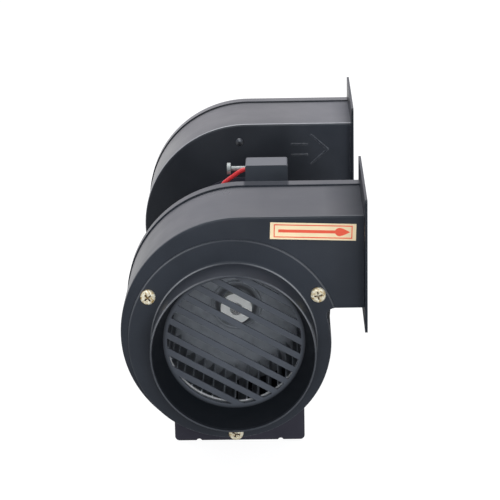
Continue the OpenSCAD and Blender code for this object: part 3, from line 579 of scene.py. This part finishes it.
def markCollar(material, marks):
    # painted shade inside the collar, and painted highlights along the crease, the ring plate's edge
    # and the rim
    tree, shader = openShader(material)
    place = addPlace(tree)
    radius, up = addRadius(tree, place)
    inside = addRange(tree, radius, *toMetres(marks["insideRadius"]))
    crease = addMath(tree, "MULTIPLY",
                     addBands(tree, place["Y"], marks["creaseY"], marks["creaseDepth"]),
                     addBell(tree, radius, *toMetres(marks["crease"])))
    edge = addBell(tree, radius, *toMetres(marks["plateEdge"]))
    rim = addBands(tree, place["Y"], marks["rimY"], marks["rimDepth"])
    pale = addMath(tree, "ADD", addMath(tree, "MULTIPLY", crease, marks["creaseAmount"]),
                   addMath(tree, "MULTIPLY", edge, marks["plateEdgeAmount"]))
    pale = addMath(tree, "ADD", pale, addMath(tree, "MULTIPLY", rim, marks["rimAmount"]))
    above = addMath(tree, "DIVIDE", up, radius)
    above = addRange(tree, above, *marks["aboveFrom"], *marks["aboveGain"])
    aside = addMath(tree, "DIVIDE", addMath(tree, "ABSOLUTE", place["X"]), radius)
    aside = addRange(tree, aside, *marks["sideFrom"], *marks["sideGain"])
    pale = addMath(tree, "MULTIPLY", addMath(tree, "MULTIPLY", pale, above), aside, True)
    # painted highlights along the crease, the ring plate's edge and the rim
    highlighted = addMix(tree, pale, fedBy(shader, "Base Color"), marks["paleLineHighlightColor"])
    # painted shade inside the collar
    tree.links.new(addMix(tree, inside, highlighted, marks["insideShadeColor"]), shader.inputs["Base Color"])
    return material


dress(markCollar(coatedMaterial("collarPaint", collarPaint), collarMarks),
      "front_inlet_collar", "rear_inlet_collar")

grillePaint = dict(shellPaint, coat=(0.069, 0.076, 0.090), roughness=0.46, edgeRadius=0.3,
                   wornLitAmount=0.6, wornLitReach=0.6, streaks=0.0)
grilleMarks = {
    "cornerRadius": (40.6, 43.6), "cornerPower": 1.6,   # mm, from the shaft's axis
    "cornerShadeColor": (0.006, 0.007, 0.009), "cornerAmount": 0.92,
}


def markGrille(material, marks):
    # painted shade in the corner between the grille and the cone round it
    tree, shader = openShader(material)
    radius = addRadius(tree, addPlace(tree))[0]
    corner = addRange(tree, radius, *toMetres(marks["cornerRadius"]))
    corner = addMath(tree, "POWER", corner, marks["cornerPower"])
    corner = addMath(tree, "MULTIPLY", corner, marks["cornerAmount"], True)
    cornerShaded = addMix(tree, corner, fedBy(shader, "Base Color"), marks["cornerShadeColor"])
    tree.links.new(cornerShaded, shader.inputs["Base Color"])
    return material


dress(markGrille(coatedMaterial("grillePaint", grillePaint), grilleMarks),
      "front_inlet_grille", "rear_inlet_grille")

bracketPaint = dict(shellPaint, coat=(0.042, 0.040, 0.054), roughness=0.45, dustAmount=0.35,
                    wornLitAmount=0.6, wornLitReach=0.6, streaks=0.0)
dress(coatedMaterial("bracketPaint", bracketPaint), "base_bracket")

motorPaint = dict(shellPaint, roughness=0.38, peelScale=800.0, peel=0.35, ior=1.46,
                  wornLitReach=0.6, streaks=0.0)
dress(coatedMaterial("motorPaint", motorPaint), "motor_casing", "front_end_bell", "rear_end_bell")
print("painted sheet done")

# bare metal

zincLook = {
    "metal": (1.0, 0.95, 0.76), "metallic": 0.3, "roughness": 0.2,
    "stain": (0.4, 0.25, 0.06), "stainAmount": 1.5, "stainScale": 520.0,
    "stretch": (700.0, 700.0, 700.0), "lines": 0.12,
    "wornLitColor": (1.0, 0.97, 0.88), "wornLitAmount": 0.7, "wornLitReach": 0.6, "edgeRadius": 0.3,   # mm
    "dirtAndShadeColor": (0.1, 0.055, 0.02), "dirtAndShadeAmount": 1.0,
}
dress(metalMaterial("yellowZinc", zincLook), "front_collar_screws", "rear_collar_screws")

postLook = dict(zincLook, metal=(0.36, 0.38, 0.37), metallic=0.5, roughness=0.5,
                stain=(0.2, 0.23, 0.21), stainAmount=0.4,
                wornLitColor=(0.85, 0.86, 0.86), dirtAndShadeColor=(0.03, 0.03, 0.03))
dress(metalMaterial("whiteZinc", postLook), "terminal_screw")

steelLook = {
    "metal": (0.62, 0.63, 0.64), "metallic": 1.0, "roughness": 0.26,
    "stain": (0.34, 0.33, 0.31), "stainAmount": 0.3, "stainScale": 160.0,
    "stretch": (1200.0, 60.0, 1200.0), "lines": 0.15,
    "wornLitColor": (0.78, 0.79, 0.8), "wornLitAmount": 0.4, "wornLitReach": 0.6, "edgeRadius": 0.3,   # mm
    "dirtAndShadeColor": (0.02, 0.02, 0.02), "dirtAndShadeAmount": 0.6,
}
dress(metalMaterial("turnedSteel", steelLook), "motor_shaft", "front_bearing", "rear_bearing",
      "front_motor_screws", "rear_motor_screws")

casingScrewLook = dict(steelLook, metal=(0.34, 0.345, 0.35), stain=(0.2, 0.2, 0.19), roughness=0.38)
dress(metalMaterial("casingZinc", casingScrewLook), "casing_screws")

rivetLook = dict(steelLook, metal=(0.16, 0.165, 0.175), stain=(0.04, 0.045, 0.05),
                 stainAmount=0.7, roughness=0.3)
dress(metalMaterial("rivetMetal", rivetLook), "rear_rivet")

setScrewLook = dict(steelLook, metal=(0.1, 0.1, 0.105), stain=(0.05, 0.05, 0.05), roughness=0.4)
dress(metalMaterial("blackenedSteel", setScrewLook), "front_set_screw", "rear_set_screw")

laminationLook = dict(steelLook, metal=(0.4, 0.41, 0.43), roughness=0.42,
                      stretch=(40.0, 2000.0, 40.0), lines=0.6)
dress(metalMaterial("laminatedSteel", laminationLook), "stator_core", "rotor_core")

# the wheel's near-white edge line is a painted highlight
wheelLook = dict(steelLook, metal=(0.31, 0.33, 0.365), metallic=0.5, roughness=0.46,
                 stain=(0.165, 0.177, 0.198), stainAmount=0.5, stretch=(300.0, 90.0, 300.0), lines=0.2,
                 wornLitColor=(0.92, 0.95, 1.0), wornLitAmount=1.0, dirtAndShadeAmount=0.3)
wheelMarks = {                         # mm, hubRing and lip are a radius and a width
    "discRadius": (38.5, 41.0), "paintedLightGain": (1.22, 0.85),   # from the disc out to the blades; painted light, brighter on the disc, darker on the blades
    "hubRing": (12.2, 2.8), "hubRingColor": (0.03, 0.031, 0.034), "hubRingAmount": 0.8,
    "lip": (42.2, 0.7), "lipY": (144.4, 144.9), "lipHighlightColor": (1.0, 1.0, 1.0), "lipHighlightAmount": 0.95,
}


def markWheel(material, marks):
    # painted light brightening the disc and darkening the blades, a dark ring between hub and bead, a
    # painted highlight on the lip at the inlet
    tree, shader = openShader(material)
    place = addPlace(tree)
    radius = addRadius(tree, place)[0]
    gain = addRange(tree, radius, *toMetres(marks["discRadius"]), *marks["paintedLightGain"])
    sheet = addScale(tree, fedBy(shader, "Base Color"), gain)
    hubRing = addBell(tree, radius, *toMetres(marks["hubRing"]))
    hubRing = addMath(tree, "MULTIPLY", hubRing, marks["hubRingAmount"])
    sheet = addMix(tree, hubRing, sheet, marks["hubRingColor"])
    outer = addMath(tree, "ABSOLUTE", place["Y"])
    outer = addRange(tree, outer, *toMetres(marks["lipY"]), 0.0, marks["lipHighlightAmount"])
    lip = addMath(tree, "MULTIPLY", addBell(tree, radius, *toMetres(marks["lip"])), outer)
    tree.links.new(addMix(tree, lip, sheet, marks["lipHighlightColor"]), shader.inputs["Base Color"])
    return material


dress(markWheel(metalMaterial("wheelSheet", wheelLook), wheelMarks), "front_impeller", "rear_impeller")

hubLook = dict(steelLook, metal=(0.97, 0.97, 0.95), metallic=0.05, roughness=0.42,
               stainAmount=0.1, dirtAndShadeAmount=0.2)
dress(metalMaterial("castHub", hubLook), "front_hub", "rear_hub")

copperLook = dict(steelLook, metal=(0.72, 0.36, 0.18), stain=(0.35, 0.14, 0.06), roughness=0.32,
                  stretch=(1400.0, 1400.0, 120.0), lines=0.8, edgeRadius=0.2)
dress(metalMaterial("enamelledCopper", copperLook), "stator_winding")
print("bare metal done")

# plastic, rubber and wire

blockLook = {
    "coat": (0.055, 0.062, 0.074), "dust": (0.2, 0.2, 0.2), "dustAmount": 0.2,
    "peelScale": 2200.0, "peel": 0.2, "roughness": 0.4, "ior": 1.54,
    "wornLitColor": (0.12, 0.125, 0.13), "wornLitAmount": 0.3, "wornLitReach": 0.6, "edgeRadius": 0.4,   # mm
    "streaks": 0.0,
}
dress(coatedMaterial("blockPlastic", blockLook), "terminal_block")

leadLook = dict(blockLook, coat=(0.62, 0.024, 0.028), dust=(0.7, 0.25, 0.24),
                wornLitColor=(0.75, 0.12, 0.11), roughness=0.32, peelScale=3000.0, peel=0.15, edgeRadius=0.0)
dress(coatedMaterial("redInsulation", leadLook), "motor_lead")

rubberLook = dict(blockLook, coat=(0.015, 0.015, 0.016), roughness=0.7, dustAmount=0.35)
dress(coatedMaterial("grommetRubber", rubberLook), "lead_grommet")

stickerLook = dict(blockLook, coat=(0.9, 0.72, 0.45), dust=(0.72, 0.56, 0.36), dustAmount=0.12,
                   wornLitColor=(0.92, 0.86, 0.7), roughness=0.42, peelScale=4000.0, peel=0.06,
                   edgeRadius=0.0)
dress(coatedMaterial("labelFilm", stickerLook), "direction_sticker")
print("plastic, rubber and wire done")

# red print on the label: a line round it and one plain arrow

printLook = {                          # mm
    "center": (48.8, -153.45, 167.1),  # middle of the label's front
    "tilt": -2.0,                      # degrees
    "frame": (47.2, 8.2, 0.65),        # length, height and line width
    "tailX": -20.9, "neckX": 13.2, "tipX": 22.3,
    "shaftHalf": 0.95, "headHalf": 2.6,
    "headSteps": 10, "headRound": 0.55, "neckShare": 0.2,   # round at the back, pointed in front
    "proud": 0.03,
}


def frameBars(look):
    length, height, line = look["frame"]
    w, h = length / 2, height / 2
    bars = [((-w, -h), (w, -h + line)), ((-w, h - line), (w, h)),
            ((-w, -h + line), (-w + line, h - line)), ((w - line, -h + line), (w, h - line))]
    return [[low, (high[0], low[1]), high, (low[0], high[1])] for low, high in bars]


def arrowHead(look):
    points = []
    steps = look["headSteps"]
    for side in (1, -1):
        for i in range(steps + 1):
            t = i / steps if side < 0 else 1 - i / steps
            x = look["neckX"] + (look["tipX"] - look["neckX"]) * t
            bulge = math.sin(math.pi * t ** look["headRound"])
            neck = look["shaftHalf"] if t < look["neckShare"] else 0.0
            points.append((x, side * max(look["headHalf"] * bulge, neck)))
    points = [p for i, p in enumerate(points) if i == 0 or p != points[i - 1]]
    return points[::-1]


def arrowShaft(look):
    tail, neck, s = look["tailX"], look["neckX"], look["shaftHalf"]
    return [(tail, -s), (neck, -s), (neck, s), (tail, s)]


def buildPrint(look):
    mesh = bpy.data.meshes.new("stickerPrint")
    bm = bmesh.new()
    for points in (*frameBars(look), arrowHead(look), arrowShaft(look)):
        lower = [bm.verts.new((x * mm, 0, z * mm)) for x, z in points]
        upper = [bm.verts.new((x * mm, -look["proud"] * mm, z * mm)) for x, z in points]
        bm.faces.new(upper)
        bm.faces.new(lower[::-1])
        for i in range(len(points)):
            j = (i + 1) % len(points)
            bm.faces.new((lower[i], lower[j], upper[j], upper[i]))
    bmesh.ops.recalc_face_normals(bm, faces=bm.faces)
    bm.to_mesh(mesh)
    bm.free()
    piece = bpy.data.objects.new("stickerPrint", mesh)
    piece.location = Vector(look["center"]) * mm
    piece.rotation_euler = (0, math.radians(-look["tilt"]), 0)
    bpy.context.scene.collection.objects.link(piece)
    return piece


inkLook = dict(stickerLook, coat=(0.8, 0.1, 0.05), dust=(0.9, 0.38, 0.26), dustAmount=0.3,
               wornLitColor=(0.8, 0.2, 0.15))
stickerPrint = buildPrint(printLook)
stickerPrint.data.materials.append(coatedMaterial("redInk", inkLook))
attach(stickerPrint, "housing")
print("label print done")
